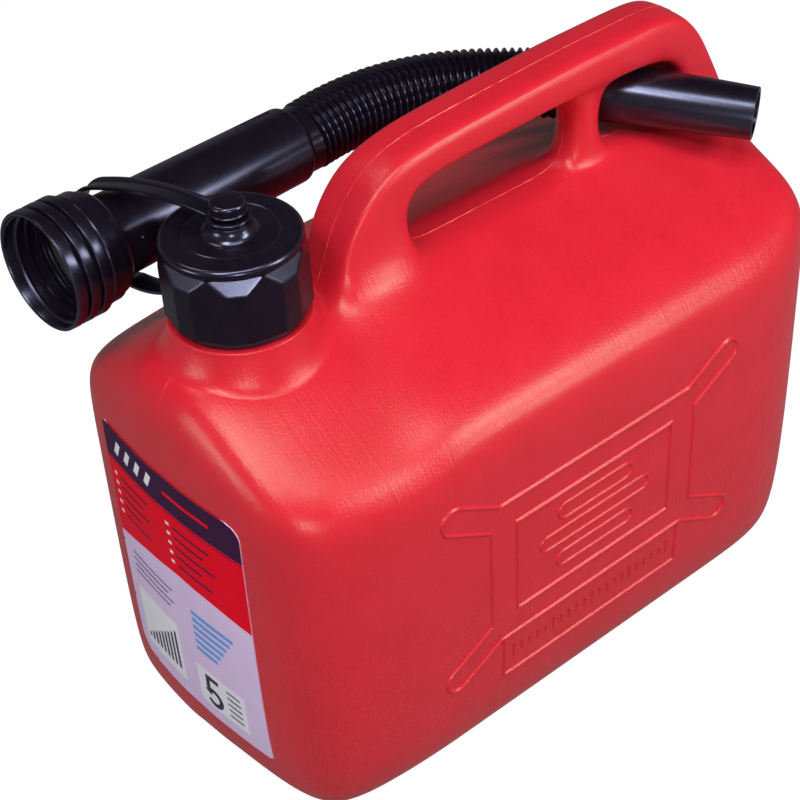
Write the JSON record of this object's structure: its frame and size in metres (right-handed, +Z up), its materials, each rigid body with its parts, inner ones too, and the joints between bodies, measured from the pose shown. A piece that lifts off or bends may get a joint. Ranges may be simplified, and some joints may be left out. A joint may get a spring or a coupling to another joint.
{
  "type": "fuel can",
  "caption": "Blow-moulded five litre fuel can with moulded carrying handle, screw cap on a retaining strap and a flexible pouring spout stored behind the handle.",
  "frame": {"origin": "centre of the can's base, on the surface it stands on", "axes": "+X along the can from the cap end to the rear, +Y across to the side where the spout is stored, +Z up"},
  "size_m": [0.2714, 0.1451, 0.2314],
  "materials": {
    "red_plastic": "satin blow-moulded polyethylene, fine mould texture",
    "black_plastic": "semi-gloss injection-moulded polyethylene",
    "seal_rubber": "soft nitrile gasket",
    "label_paper": "printed film label, semi-gloss"
  },
  "bodies": {
    "can": {"can_body": "red_plastic", "front_label": "label_paper", "cap_strap": "black_plastic", "spout_barrel": "black_plastic", "spout_seal": "seal_rubber", "flex_hose": "black_plastic", "spout_tip": "black_plastic"},
    "cap_lifter": {"cap_seal": "seal_rubber"},
    "cap": {"screw_cap": "black_plastic"},
    "collar": {"spout_collar": "black_plastic"}
  },
  "joints": [
    {"name": "cap_lift", "type": "slide", "parent": "can", "child": "cap_lifter", "axis": [0, 0, 1], "range_m": [0, 0.008], "deforming": ["cap_strap"]},
    {"name": "cap_turn", "type": "hinge", "parent": "cap_lifter", "child": "cap", "pos_m": [-0.0933, 0, 0.1918], "axis": [0, 0, 1], "range_deg": [0, 720]},
    {"name": "collar_turn", "type": "hinge", "parent": "can", "child": "collar", "pos_m": [-0.1374, 0.05, 0.1995], "axis": [0.9974, 0.0697, -0.0192], "continuous": true}
  ],
  "couplings": [
    {"joint": "cap_lift", "follows": "cap_turn", "m_per_rad": 0.0006366}
  ]
}
